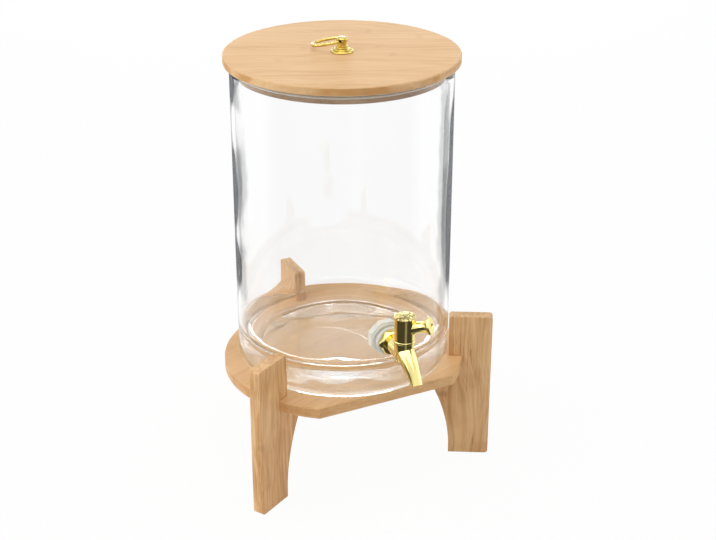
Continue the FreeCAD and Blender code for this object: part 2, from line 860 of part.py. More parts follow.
def washer_outer():
    """Washer between the flange and the glass, hollowed to the curve of the glass."""
    back = jar_radius - washer_thick
    disc = primitive("Part::Cylinder", "outer_disc", Radius=given("washer_radius"),
                     Height=hex_back - back)
    disc.Placement = FreeCAD.Placement(V(0, 0, back.number), TURN())
    hole = primitive("Part::Cylinder", "outer_hole", Radius=stem_radius + given("washer_seat"),
                     Height=hex_back)
    glass = primitive("Part::Cylinder", "outer_glass", Height=4 * given("washer_radius"),
                      Radius=jar_radius + given("washer_seat"))
    glass.Placement = upright(V(0, -2 * given("washer_radius").number, 0), V(0, 1, 0))
    item = cut_from("tap_washer_outer", disc, fused("outer_waste", [hole, glass]))
    finished(item, stem_place())


def washer_inner():
    """Washer between the nut and the glass, bulged to the curve of the glass."""
    disc = primitive("Part::Cylinder", "inner_disc", Radius=given("nut_flats") * 0.47,
                     Height=washer_thick * 2)
    disc.Placement = FreeCAD.Placement(V(0, 0, nut_front.number), TURN())
    hole = primitive("Part::Cylinder", "inner_hole", Radius=stem_radius + given("washer_seat"),
                     Height=jar_radius)
    glass = primitive("Part::Cylinder", "inner_glass", Height=4 * given("washer_radius"),
                      Radius=jar_inside - given("washer_seat"))
    glass.Placement = upright(V(0, -2 * given("washer_radius").number, 0), V(0, 1, 0))
    bulged = doc.addObject("Part::Common", "inner_bulge")
    bulged.Base = disc
    bulged.Tool = glass
    finished(cut_from("tap_washer_inner", bulged, hole), stem_place())


def tap_nut():
    """Eight-sided nut on the stem inside the jar, with a lower round boss."""
    body = new_body("tap_nut")
    corner_radius = given("nut_flats") / (2 * math.cos(math.radians(22.5)))
    corners = []
    for index in range(8):
        angle = math.radians(22.5 + 45 * index)
        corners.append((corner_radius * math.cos(angle), corner_radius * math.sin(angle)))
    octagon = outline(new_sketch(body, "octagon", "XY_Plane"), corners)
    circle_in(octagon, stem_radius + given("thread_play"))
    pad(body, "flats", octagon, given("nut_thick"))

    def face_edge(edge):
        box = edge.BoundBox
        middle = edge.valueAt((edge.FirstParameter + edge.LastParameter) / 2)
        outside = math.hypot(middle.x, middle.y) > stem_radius.number + 2
        return box.ZLength < 0.01 and box.ZMax < 0.01 and outside

    round_edges(body, "eased_face", given("jar_rim"), face_edge)
    finished(body, stem_place().multiply(FreeCAD.Placement(V(0, 0, nut_back.number), TURN())))


def o_ring_seats():
    return (("upper", given("o_ring_upper")), ("lower", -given("o_ring_lower")))


def o_ring_centre():
    """Radius of an O-ring's middle line: its outside touches the plug's hole."""
    return valve_plug_radius - given("o_ring_wire")


def tap_plug():
    """Valve plug: ground cylinder with two seal grooves, a cross port and a driven top."""
    body = new_body("tap_plug")
    screw_way = given("valve_screw_radius") + given("thread_play")
    screw_foot = drive_top - given("valve_screw_grip")
    revolve(body, "cylinder", [
        (0, plug_foot),
        (valve_plug_radius, plug_foot),
        (valve_plug_radius, housing_rise),
        (drive_radius, housing_rise),
        (drive_radius, drive_top),
        (screw_way, drive_top),
        (screw_way, screw_foot),
        (0, screw_foot),
    ])
    wire = given("o_ring_wire") + given("thread_play")
    for side, high in o_ring_seats():
        root = o_ring_centre() - wire
        revolve(body, side + "_groove", [
            (root, high - wire),
            (valve_plug_radius + wire, high - wire),
            (valve_plug_radius + wire, high + wire),
            (root, high + wire),
        ], cut=True)
    port = circle_in(new_sketch(body, "port", "YZ_Plane"), given("port_radius"))
    pocket(body, "cross_port", port)
    flat = given("drive_flat")
    reach = drive_radius + overcut
    side_flat = outline(new_sketch(body, "drive_side", "YZ_Plane"), [
        (flat, housing_rise),
        (reach, housing_rise),
        (reach, drive_top + overcut),
        (flat, drive_top + overcut),
    ])
    pocket(body, "drive_flat_cut", side_flat)
    finished(body, valve_place())


def plug_seals():
    for side, high in o_ring_seats():
        name = "plug_seal_" + side
        ring = primitive("Part::Torus", name, Radius1=o_ring_centre(),
                         Radius2=given("o_ring_wire"))
        finished(ring, valve_place().multiply(FreeCAD.Placement(V(0, 0, high.number), TURN())))


def tap_handle():
    """Tapered sleeve over the plug's top, with the waisted lever rising from its side."""
    body = new_body("tap_handle")
    play = given("thread_play")
    socket = drive_radius + play
    web = drive_top + play
    web_thick = given("web_thick")
    head = given("valve_screw_head") + given("screw_play")
    screw_way = given("valve_screw_radius") + play
    revolve(body, "sleeve", [
        (0, sleeve_foot),
        (given("sleeve_low_radius"), sleeve_foot),
        (given("sleeve_top_radius"), sleeve_top),
        (0, sleeve_top),
    ])
    tilt = FreeCAD.Placement(V(0, given("lever_high").number, 0),
                             TURN(V(0, 0, 1), given("lever_slope").number))
    root = given("lever_root_radius")
    waist = given("lever_waist_radius")
    waist_out = given("lever_waist_out")
    end = given("lever_long")
    flare = given("knob_radius") * 0.82
    half_run = (end - waist_out) / 2
    opening = flare - waist
    sweep = (half_run * half_run * 4 + opening * opening) / (2 * opening)
    revolve(body, "lever", [
        (0, 0),
        (end, 0),
        (end, flare),
        (waist_out, waist, -sweep),
        (sleeve_play_out(), root),
        (0, root),
    ], offset=tilt, axis="H_Axis")
    revolve(body, "plug_socket", [
        (0, sleeve_foot - overcut),
        (socket, sleeve_foot - overcut),
        (socket, web),
        (screw_way, web),
        (screw_way, web + web_thick),
        (head, web + web_thick),
        (head, sleeve_top + overcut),
        (0, sleeve_top + overcut),
    ], cut=True)
    finished(body, valve_place())


def sleeve_play_out():
    """Where the lever leaves the sleeve, from the valve's axis."""
    return given("sleeve_low_radius") * 0.9


def lever_knob():
    """Disc at the end of the lever, with a rounded rim, a dished face and a small hole."""
    body = new_body("lever_knob")
    radius = given("knob_radius")
    thick = given("knob_thick")
    flare = given("knob_radius") * 0.82
    edge = thick / 2
    dimple = given("knob_dimple")
    revolve(body, "disc", [
        (0, 0),
        (flare, 0),
        (radius, edge, edge * 2.2),
        (radius - edge, thick, edge * 1.12),
        (dimple * 1.6, thick * 1.1),
        (dimple, thick * 0.9),
        (dimple, thick * 0.4),
        (0, thick * 0.4),
    ])
    slope = given("lever_slope").number
    along = TURN(V(0, 1, 0), 90 - slope)
    start = V(0, 0, given("lever_high").number) + along.multVec(V(0, 0, given("lever_long").number))
    finished(body, valve_place().multiply(FreeCAD.Placement(start, along)))


def tap_cap():
    """Domed cap on the sleeve, its rim grooved for the fingers."""
    body = new_body("tap_cap")
    rim = given("cap_rim")
    dome = given("cap_dome")
    shoulder = cap_radius * 0.9
    dome_radius = (shoulder * shoulder + dome * dome) / (2 * dome)
    revolve(body, "dome", [
        (0, 0),
        (cap_radius, 0),
        (cap_radius, rim * 0.7),
        (shoulder, rim),
        (0, rim + dome, dome_radius),
    ])
    notch = circle_in(new_sketch(body, "notch", "XY_Plane"), given("cap_groove"), cap_radius, 0)
    groove = pocket(body, "rim_groove", notch)
    pattern(body, "rim_grooves", groove, given("cap_groove_count"))
    finished(body, valve_place().multiply(FreeCAD.Placement(V(0, 0, sleeve_top.number), TURN())))


def valve_screw():
    """Screw from the sleeve's top into the plug, hidden under the cap."""
    body = new_body("valve_screw")
    seat = drive_top + given("thread_play") + given("web_thick")
    shank = given("valve_screw_radius")
    head = given("valve_screw_head")
    tip = drive_top - given("valve_screw_grip") + given("sleeve_gap")
    revolve(body, "shank_and_head", [
        (0, tip),
        (shank, tip),
        (shank, seat),
        (head, seat),
        (head, seat + shank),
        (0, seat + shank),
    ])
    finished(body, valve_place())


# ---------------------------------------------------------------- the dispenser

def build():
    base_plate()
    leg("leg_rear", 90)
    leg("leg_front_left", 210)
    leg("leg_front_right", 330)
    glass_jar()
    lid_board()
    lid_plug()
    lid_gasket()
    handle_rosette()
    handle_post()
    handle_ring()
    handle_washer()
    handle_screw()
    tap_body()
    washer_outer()
    washer_inner()
    tap_nut()
    tap_plug()
    plug_seals()
    tap_handle()
    lever_knob()
    tap_cap()
    valve_screw()
    doc.recompute()


def check_document():
    for item in doc.Objects:
        bad = [word for word in item.State if word in ("Invalid", "Error")]
        if bad:
            raise RuntimeError("{} is {}".format(item.Name, bad))
    for piece in pieces:
        shape = piece.Shape
        if shape.isNull() or not shape.isValid() or not shape.Solids:
            raise RuntimeError("{} has no valid solid".format(piece.Label))


def export_pieces():
    os.makedirs("parts", exist_ok=True)
    for piece in pieces:
        piece.Shape.exportStep(os.path.join("parts", piece.Label + ".step"))


build()
check_document()
export_pieces()
for piece in pieces:
    box = piece.Shape.BoundBox
    print("{:18s} {:9.1f} mm3  z {:6.1f} to {:6.1f}".format(
        piece.Label, piece.Shape.Volume, box.ZMin, box.ZMax))
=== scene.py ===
"""Dressed model of the drink dispenser: clear glass jar, gold lever tap, bamboo lid and stand."""

import json
import math

import bmesh
import bpy
from mathutils import Euler, Matrix, Vector


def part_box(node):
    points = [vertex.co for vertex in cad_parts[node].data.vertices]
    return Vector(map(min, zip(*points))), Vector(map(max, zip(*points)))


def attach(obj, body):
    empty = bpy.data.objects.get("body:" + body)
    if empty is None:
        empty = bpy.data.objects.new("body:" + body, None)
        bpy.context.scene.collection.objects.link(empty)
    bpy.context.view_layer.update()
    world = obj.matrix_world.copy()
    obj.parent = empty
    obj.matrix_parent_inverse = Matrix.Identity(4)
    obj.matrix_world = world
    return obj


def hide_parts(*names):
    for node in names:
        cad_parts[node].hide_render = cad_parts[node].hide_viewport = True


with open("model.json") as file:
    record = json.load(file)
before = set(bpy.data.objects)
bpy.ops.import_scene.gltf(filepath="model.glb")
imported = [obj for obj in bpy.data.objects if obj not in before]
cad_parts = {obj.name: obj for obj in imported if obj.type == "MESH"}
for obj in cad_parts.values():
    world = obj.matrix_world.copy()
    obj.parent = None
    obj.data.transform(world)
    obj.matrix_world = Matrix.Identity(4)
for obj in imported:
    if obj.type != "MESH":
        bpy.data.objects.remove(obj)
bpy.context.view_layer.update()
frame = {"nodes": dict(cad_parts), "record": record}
nodes = frame["nodes"]
scene = bpy.context.scene

MM = 0.001

# ---------------------------------------------------------------- places taken from the model


def middle(node):
    """Middle of a node's box."""
    low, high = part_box(node)
    return (Vector(low) + Vector(high)) / 2


JAR_LOW, JAR_HIGH = (Vector(corner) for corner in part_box("glass_jar"))
LID_MIDDLE = middle("lid_board")
JAR_AXIS = Vector((LID_MIDDLE.x, LID_MIDDLE.y, 0))
JAR_FOOT = Vector((JAR_AXIS.x, JAR_AXIS.y, JAR_LOW.z))
JAR_RADIUS = (JAR_HIGH.x - JAR_LOW.x) / 2
JAR_TALL = JAR_HIGH.z - JAR_LOW.z
TAP_HIGH = middle("tap_nut").z
TAP_OUT = (middle("tap_nut") - JAR_AXIS).to_2d().normalized().to_3d()
TAP_TURN = math.atan2(TAP_OUT.x, -TAP_OUT.y)

# ---------------------------------------------------------------- chosen sizes and tones

# Jar: wall, thick base with a hollow under it, and the bowl that the base forms inside.
JAR_WALL = 4 * MM
JAR_HEEL = 12 * MM
JAR_BASE = 16 * MM
JAR_PUNT = 3.5 * MM
JAR_RIM = 1.4 * MM
BOWL_WIDE, BOWL_TALL = 60 * MM, 26 * MM
LOBE_COUNT, LOBE_DEPTH = 4, 0.11
LOBE_HEADING = math.radians(18)
TAP_HOLE_RADIUS = 8.5 * MM

# Small gold trims.
RING_WIRE = 1.35 * MM
BEAD_ROOT, BEAD_BULGE, BEAD_TALL, BEAD_UNDER_TOP = 9.4 * MM, 10.1 * MM, 2.4 * MM, 2.5 * MM
THREAD_CORE, THREAD_CREST, THREAD_LONG = 7.95 * MM, 0.4 * MM, 2.2 * MM
THREAD_START = 17.0 * MM  # in from the jar's outside

# Glass: its waves, the part of the light that the foot's stipple lets through, and the most
# that the painted shade dims a wall where it is seen edge on.
WAVE_DEPTH = 1.2 * MM
BASE_WAVES, WALL_WAVES = 6.5, 0.4
STIPPLE_LEAST, STIPPLE_SPREAD = 0.52, 0.3
EDGE_SHADE_MOST = 0.85

# Bamboo: metres from one growth mark to the next, the way the grain runs, and the settings of
# the legs and of the boards. Strips and layers are in metres, colours in 0 to 255 steps.
MARK_EVERY = 0.17
LID_GRAIN = math.radians(-27)
PLATE_GRAIN = math.radians(20)
LEG_HEADINGS = {"leg_rear": 90, "leg_front_left": 210, "leg_front_right": 330}
LEG_SHADES = {"leg_rear": 1.0, "leg_front_left": 1.0, "leg_front_right": 0.955}
LEG_PALE, LEG_DEEP = (250, 207, 153), (204, 150, 93)
LEG_WOOD = {"order": "zxy", "strip": 0.021, "layer": 0.0062,
            "uneven": 0.3, "streaky": 1.15, "marked": 0.9, "patched": 0.15}
BOARD_WOODS = {
    "base_plate": {
        "name": "plate bamboo", "heading": PLATE_GRAIN, "order": "xyz",
        "strip": 0.02, "layer": 0.0056, "pale": (243, 199, 145), "deep": (213, 162, 106),
        "seed": 1.0, "uneven": 0.25, "streaky": 0.5, "marked": 0.5, "patched": 0.5},
    "lid_board": {
        "name": "lid bamboo", "heading": LID_GRAIN, "order": "xyz",
        "strip": 0.019, "layer": 0.02, "pale": (242, 201, 151), "deep": (222, 175, 120),
        "seed": 2.0, "uneven": 0.18, "streaky": 0.9, "marked": 0.18, "patched": 0.75},
    "lid_plug": {
        "name": "plug bamboo", "heading": LID_GRAIN, "order": "xyz",
        "strip": 0.019, "layer": 0.02, "pale": (188, 156, 122), "deep": (150, 118, 87),
        "seed": 5.0, "uneven": 0.25, "streaky": 0.5, "marked": 0.3, "patched": 0.3},
}

# Studio: the way towards the room's dim side, that side's colour in metal, the light that the
# room gives, the floor, and the softboxes in metres and watts.
WHITE = (1, 1, 1, 1)
DIM_WAY = (-0.443, -0.896)
DIM_ROOM = (0.065, 0.06, 0.05, 1)
ROOM_LIGHT = (0.34, 0.34, 0.345, 1)
FLOOR_HALF = 6.0
FLOOR_WHITE = 0.95  # the rest of the floor's look is lit, so it keeps the shadow
FLOOR_UNDER = 0.2 * MM
SOFTBOX_TARGET = (0, 0, 0.2)
SOFTBOXES = [  # name, place, target, size, power
    ("left softbox", (-2.2, 0.7, 1.1), SOFTBOX_TARGET, (2.6, 2.1), 24),
    ("right softbox", (2.2, -0.6, 1.0), SOFTBOX_TARGET, (1.8, 1.8), 9),
    ("top softbox", (-0.5, -0.5, 2.75), SOFTBOX_TARGET, (3.4, 3.4), 44),
    ("back softbox", (0.97, 1.97, 0.5), (0, 0, 0.12), (1.4, 0.22), 9),
]

# Camera: its distance from the jar's axis and height over the floor, the way it looks, and its
# lens in sensor widths.
CAMERA_AWAY, CAMERA_HIGH = 1.270941, 0.786392
CAMERA_HEADING = math.radians(-26.294)
CAMERA_DOWN = math.radians(24.890)
CAMERA_ASIDE = math.radians(0.646)
SENSOR_WIDE = 36.0
LENS_PER_SENSOR = 1459.451 / 716


# ---------------------------------------------------------------- shader and geometry recipes


def tone(red, green, blue):
    """Scene colour of a colour given in 0 to 255 steps."""
    def straight(step):
        share = step / 255
        return share / 12.92 if share <= 0.04045 else ((share + 0.055) / 1.055) ** 2.4
    return (straight(red), straight(green), straight(blue), 1)


class Value:
    """A socket that takes part in sums; each sum adds the Math node that it needs."""

    def __init__(self, recipe, socket):
        self.recipe = recipe
        self.socket = socket

    def math(self, operation, *others, clamp=False):
        inputs = dict(enumerate((self,) + others))
        settings = {"operation": operation, "use_clamp": clamp}
        return self.recipe.node("ShaderNodeMath", settings, inputs)

    def share(self):
        """The value, kept from 0 to 1."""
        return self.math("ADD", 0.0, clamp=True)

    def __add__(self, other):
        return self.math("ADD", other)

    def __sub__(self, other):
        return self.math("SUBTRACT", other)

    def __mul__(self, other):
        return self.math("MULTIPLY", other)

    def __truediv__(self, other):
        return self.math("DIVIDE", other)

    def __rsub__(self, other):
        return (self * -1) + other

    __radd__ = __add__
    __rmul__ = __mul__

    def between(self, low, high):
        """0 below low, 1 above high and a soft step in between."""
        settings = {"interpolation_type": "SMOOTHSTEP"}
        inputs = {"Value": self, "From Min": low, "From Max": high}
        return self.recipe.node("ShaderNodeMapRange", settings, inputs)


class Recipe:
    """A node tree that is written as sums and calls."""

    def __init__(self, tree):
        self.tree = tree
        tree.nodes.clear()

    def node(self, kind, settings=None, inputs=None, output=0):
        """Adds a node with its settings and inputs; gives one of its outputs."""
        made = self.tree.nodes.new(kind)
        for key, setting in (settings or {}).items():
            setattr(made, key, setting)
        for key, given in (inputs or {}).items():
            socket = made.inputs[key]
            if isinstance(given, Value):
                self.tree.links.new(given.socket, socket)
            else:
                socket.default_value = given
        return Value(self, made.outputs[output]) if made.outputs else made

    def more(self, value, output):
        """Another output of the node that a value comes from."""
        return Value(self, value.socket.node.outputs[output])

    def mix(self, share, first, second):
        """First colour where share is 0, second where it is 1."""
        inputs = {0: share, 6: first, 7: second}
        return self.node("ShaderNodeMix", {"data_type": "RGBA"}, inputs, 2)

    def point(self):
        """Point on the piece, in the model's own metres."""
        return self.node("ShaderNodeTexCoord", output="Object")

    def turned(self, angle, shift=(0, 0, 0)):
        """Point seen from an origin and directions turned by an angle round Z."""
        inputs = {"Vector": self.point(), "Rotation": (0, 0, -angle), "Location": shift}
        return self.node("ShaderNodeMapping", {"vector_type": "POINT"}, inputs)

    def apart(self, vector):
        first = self.node("ShaderNodeSeparateXYZ", inputs={0: vector})
        return first, self.more(first, 1), self.more(first, 2)

    def together(self, x, y, z):
        return self.node("ShaderNodeCombineXYZ", inputs={0: x, 1: y, 2: z})

    def noise(self, vector, scale=1.0, detail=2.0, roughness=0.5):
        inputs = {"Vector": vector, "Scale": scale, "Detail": detail, "Roughness": roughness}
        return self.node("ShaderNodeTexNoise", inputs=inputs)

    def chance(self, vector):
        """One random number from 0 to 1 for each whole-numbered place."""
        return self.node("ShaderNodeTexWhiteNoise", {"noise_dimensions": "3D"}, {"Vector": vector})

    def surface(self, shader):
        self.node("ShaderNodeOutputMaterial", inputs={"Surface": shader})


def finish_named(name):
    """An empty material and the recipe that fills it."""
    material = bpy.data.materials.new(name)
    material.use_nodes = True
    return material, Recipe(material.node_tree)


# ---------------------------------------------------------------- finishes


def bamboo(name, heading, order, strip, layer, pale, deep, seed, uneven, streaky, marked,
           patched):
    """Pressed bamboo strips with their own tones, fibres, dark flecks and soft growth marks.

    After the turn by heading, order says which directions run along the grain, across the
    strips and through their layers. The last four values say how much the strips' tones
    differ, and how strong the streaks, the growth marks and the amber patches on edges are.
    """
    material, r = finish_named(name)
    xyz = r.apart(r.turned(heading, (seed * 0.37, seed * 0.11, 0)))
    along, across, through = (xyz["xyz".index(letter)] for letter in order)
    strip_number = (across / strip).math("FLOOR")
    layer_number = (through / layer).math("FLOOR")
    strip_tone = r.chance(r.together(strip_number, layer_number, seed))
    mark_shift = r.chance(r.together(strip_number, layer_number, seed + 7.0))

    # fibres, streaks, soft clouds and short dark flecks along the grain
    wander = r.noise(r.together(along * 11, across * 40, through * 40), detail=1.0) - 0.5
    fibre = r.noise(r.together(along * 14, across * 1300 + wander * 4, through * 1300), detail=3.0)
    streak = r.noise(r.together(along * 9, across * 300 + wander * 9, through * 300), detail=3.0,
                     roughness=0.65)
    cloud = r.noise(r.together(along * 13, across * 34, through * 34), detail=2.0)
    fleck = r.noise(r.together(along * 50, across * 750, through * 750), detail=1.0)
    flecks = fleck.between(0.6, 0.72) * cloud.between(0.4, 0.65)

    # one growth mark across each strip at every step along it, faint at the strip's sides
    place = (along / MARK_EVERY + mark_shift).math("FRACT")
    wavy = r.noise(r.together(along * 30, across * 110, through * 110), detail=3.0) - 0.5
    off_mark = (place - 0.5 + wavy * 0.05).math("ABSOLUTE") * MARK_EVERY
    off_middle = ((across / strip).math("FRACT") - 0.5).math("ABSOLUTE")
    middle_of_strip = 1 - off_middle.between(0.12, 0.4)
    strength = r.chance(r.together(strip_number, layer_number, seed + 19.0)).between(0.35, 0.9)
    smudge = (1 - off_mark.between(0.0006, 0.0055)) * (middle_of_strip * 0.7 + 0.3) * strength
    marks = smudge * (wavy + 0.9)

    # glued joints between the strips, and amber patches on upright edges
    joint_line = off_middle.between(0.485, 0.5) * (uneven * 0.4)
    upright = 1 - r.apart(r.node("ShaderNodeTexCoord", output="Normal"))[2].math("ABSOLUTE")
    patch = r.noise(r.together(along * 30, across * 30, through * 60), detail=2.0)
    edge_patch = upright.between(0.5, 0.9) * patch.between(0.45, 0.66)

    share = (strip_tone - 0.5) * uneven + (streak - 0.5) * (streaky * 2.0) + 0.38
    share = share + (fibre - 0.5) * (streaky * 0.8) + (cloud - 0.5) * (streaky * 0.9) + joint_line
    wood = r.mix((share + flecks * (streaky * 0.7)).share(), tone(*pale), tone(*deep))
    amber = tone(deep[0] * 0.93, deep[1] * 0.84, deep[2] * 0.68)
    wood = r.mix(edge_patch * patched, wood, amber)
    dark = tone(deep[0] * 0.72, deep[1] * 0.62, deep[2] * 0.5)
    wood = r.mix((marks * marked).share(), wood, dark)
    bump = r.node("ShaderNodeBump", inputs={"Strength": 0.35, "Distance": 0.00012,
                                            "Height": fibre * 0.6 + streak * 0.4})
    shader = r.node("ShaderNodeBsdfPrincipled", inputs={
        "Base Color": wood,
        "Roughness": fibre * 0.12 + 0.44,
        "Normal": bump,
        "Specular IOR Level": 0.3,
    })
    r.surface(shader)
    return material


def clear_glass():
    """Clear glass, a little wavy, with painted shade: grey bands where its wall is seen edge on;
    its foot is stippled round the hollow in its middle, so that the wood shows through it."""
    material, r = finish_named("clear glass")
    x, y, z = r.apart(r.turned(0.0))
    high = z - JAR_FOOT.z

    # long upright waves, strong in the base and faint in the wall
    waves = r.noise(r.together(x * 24, y * 24, z * 7), detail=1.0)
    calm = high.between(0.02, 0.06)
    bump = r.node("ShaderNodeBump", inputs={
        "Strength": 0.25, "Distance": WAVE_DEPTH,
        "Height": waves * (BASE_WAVES - calm * (BASE_WAVES - WALL_WAVES))})
    glass = r.node("ShaderNodeBsdfPrincipled", inputs={
        "Base Color": (0.998, 1.0, 0.999, 1),
        "Roughness": 0.0,
        "IOR": 1.5,
        "Transmission Weight": 1.0,
        "Normal": bump,
    })

    # painted shade: grey bands where the wall is seen edge on, in place of the dark that its edges
    # refract and reflect; wider where a noise says, and on the right side between the foot and the
    # upper part
    edge_on = r.node("ShaderNodeLayerWeight", inputs={"Blend": 0.5}, output="Facing")
    shade_spread = r.noise(r.together(x * 5 + 3.1, y * 5, z * 13), detail=1.0).between(0.34, 0.66)
    right_side = ((x - JAR_AXIS.x) / JAR_RADIUS).between(0.5, 0.8)
    right_band_heights = high.between(0.05, 0.12) * (1 - high.between(0.235, 0.29))
    shade_spread = shade_spread * (1 - right_side) + right_side * right_band_heights
    upper = high.between(0.03, 0.12) * 0.75 + 0.25
    wavy = r.noise(r.together(x * 20, y * 20, z * 60), detail=1.0) * 0.08
    inner_edge_shade = (edge_on + wavy).between(0.63, 0.7) * shade_spread.between(0.3, 0.7) * upper * 0.36
    outer_edge_shade = (edge_on + shade_spread * 0.17).between(0.86, 0.92) * (shade_spread * 0.35 + 0.5) * upper
    side = r.apart(r.node("ShaderNodeTexCoord", output="Normal"))[2].math("ABSOLUTE")
    wall = 1 - side.between(0.05, 0.3)
    # painted shade: how much of the grey see-through sheet is mixed into the wall
    dim = ((inner_edge_shade + outer_edge_shade) * wall).math("MINIMUM", EDGE_SHADE_MOST)
    painted_shade_sheet = r.node("ShaderNodeBsdfTransparent", inputs={"Color": (0.3, 0.31, 0.33, 1)})
    walls = r.node("ShaderNodeMixShader", inputs={0: dim, 1: glass, 2: painted_shade_sheet})

    # the foot's stipple lets the wood through; shadows and soft light pass the glass too
    off_x, off_y = x - JAR_AXIS.x, y - JAR_AXIS.y
    around = (off_x * off_x + off_y * off_y).math("SQRT")
    speckle = r.noise(r.together(x * 800, y * 800, z), detail=1.0)
    foot = (1 - high.between(0.0046, 0.0052)) * (1 - around.between(0.082, 0.085))
    stipple = around.between(0.02, 0.06) * (speckle * STIPPLE_SPREAD + STIPPLE_LEAST)
    ray = r.node("ShaderNodeLightPath", output="Is Shadow Ray")
    passing = ray.math("MAXIMUM", r.more(ray, "Is Diffuse Ray"))
    passing = passing.math("MAXIMUM", foot * stipple)
    clear = r.node("ShaderNodeBsdfTransparent", inputs={"Color": (0.99, 0.995, 0.99, 1)})
    r.surface(r.node("ShaderNodeMixShader", inputs={0: passing, 1: walls, 2: clear}))
    return material


def polished_gold(name, colour, roughness, hammered, grain=150.0, hollow_shade=0.97):
    """Bright plating with polishing waves, and painted shade that darkens the colour in the waves'
    low places.
    """
    material, r = finish_named(name)
    xyz = r.point()
    film = r.noise(xyz, scale=260.0, detail=3.0)
    waves = r.noise(xyz, scale=grain, detail=1.0)
    # painted shade: the plating's colour is darker in the waves' low places
    plating_and_shade = r.mix(waves.between(0.4, 0.56), tone(*(step * hollow_shade for step in colour)),
                    tone(*colour))
    bump = r.node("ShaderNodeBump", inputs={
        "Strength": hammered, "Distance": 0.0002, "Height": waves})
    shader = r.node("ShaderNodeBsdfPrincipled", inputs={
        "Base Color": plating_and_shade,
        "Metallic": 1.0,
        "Roughness": film * 0.05 + (roughness - 0.025),
        "Normal": bump,
    })
    r.surface(shader)
    return material


def soft_white(name, colour, roughness, glow):
    """Milky plastic or silicone: light sinks in a little, with a fine moulded grain."""
    material, r = finish_named(name)
    grain = r.noise(r.point(), scale=900.0, detail=2.0)
    cloud = r.noise(r.point(), scale=90.0, detail=2.0)
    milk = r.mix(cloud, tone(*colour), tone(*(step * 0.95 for step in colour)))
    bump = r.node("ShaderNodeBump", inputs={"Strength": 0.2, "Distance": 0.0001, "Height": grain})
    shader = r.node("ShaderNodeBsdfPrincipled", inputs={
        "Base Color": milk,
        "Roughness": grain * 0.1 + roughness,
        "Subsurface Weight": glow,
        "Subsurface Radius": (1.0, 0.9, 0.8),
        "Subsurface Scale": 0.004,
        "Normal": bump,
    })
    r.surface(shader)
    return material


def dark_rubber():
    """Matte black rubber with a fine grain."""
    material, r = finish_named("seal rubber")
    grain = r.noise(r.point(), scale=1200.0, detail=2.0)
    shader = r.node("ShaderNodeBsdfPrincipled", inputs={
        "Base Color": r.mix(grain, tone(26, 26, 27), tone(44, 44, 45)),
        "Roughness": grain * 0.2 + 0.5,
    })
    r.surface(shader)
    return material


def turned_steel():
    """Plain screw steel with fine rings from turning."""
    material, r = finish_named("turned steel")
    x, y, z = r.apart(r.turned(0.0))
    rings = r.noise(r.together(x * 300, y * 300, z * 2600), detail=2.0)
    shader = r.node("ShaderNodeBsdfPrincipled", inputs={
        "Base Color": r.mix(rings, tone(196, 196, 198), tone(168, 168, 170)),
        "Metallic": 1.0,
        "Roughness": rings * 0.15 + 0.28,
    })
    r.surface(shader)
    return material


# ---------------------------------------------------------------- pieces made by rule


def new_tree(name, sockets):
    """Geometry node tree with named inputs, as (recipe, inputs by name)."""
    tree = bpy.data.node_groups.new(name, "GeometryNodeTree")
    for label, kind in sockets.items():
        tree.interface.new_socket(label, in_out="INPUT", socket_type=kind)
    tree.interface.new_socket("Geometry", in_out="OUTPUT", socket_type="NodeSocketGeometry")
    r = Recipe(tree)
    first = r.node("NodeGroupInput")
    return r, {label: r.more(first, label) for label in sockets}


def ended(r, geometry, material):
    """Realise the instances, give the finish and end the tree."""
    real = r.node("GeometryNodeRealizeInstances", inputs={"Geometry": geometry})
    dressed = r.node("GeometryNodeSetMaterial", inputs={"Geometry": real, "Material": material})
    r.node("NodeGroupOutput", inputs={0: dressed})
    return r.tree


def turned_tree():
    """Turns an outline's points round Z, one column of points for each step."""
    r, given = new_tree("turned round its axis", {
        "Outline": "NodeSocketObject",
        "Steps": "NodeSocketInt",
        "Finish": "NodeSocketMaterial",
    })
    outline = r.node("GeometryNodeObjectInfo", {"transform_space": "ORIGINAL"},
                     {"Object": given["Outline"]}, "Geometry")
    count = r.node("GeometryNodeAttributeDomainSize", {"component": "MESH"}, {"Geometry": outline},
                   "Point Count")
    columns = given["Steps"] + 1
    grid = r.node("GeometryNodeMeshGrid", inputs={"Vertices X": columns, "Vertices Y": count})
    index = r.node("GeometryNodeInputIndex")
    whole = {"operation": "MODULO"}
    row = r.node("FunctionNodeIntegerMath", whole, {0: index, 1: count})
    column = r.node("FunctionNodeIntegerMath", {"operation": "DIVIDE_FLOOR"}, {0: index, 1: count})
    place = r.node("GeometryNodeInputPosition")
    spot = r.node("GeometryNodeSampleIndex", {"data_type": "FLOAT_VECTOR", "domain": "POINT"},
                  {"Geometry": outline, "Value": place, "Index": row})
    angle = column / given["Steps"] * (2 * math.pi)
    turned = r.node("ShaderNodeVectorRotate", {"rotation_type": "Z_AXIS"},
                    {"Vector": spot, "Angle": angle})
    shaped = r.node("GeometryNodeSetPosition", inputs={"Geometry": grid, "Position": turned})
    closed = r.node("GeometryNodeMergeByDistance", inputs={"Geometry": shaped, "Distance": 1e-6})
    return ended(r, closed, given["Finish"])


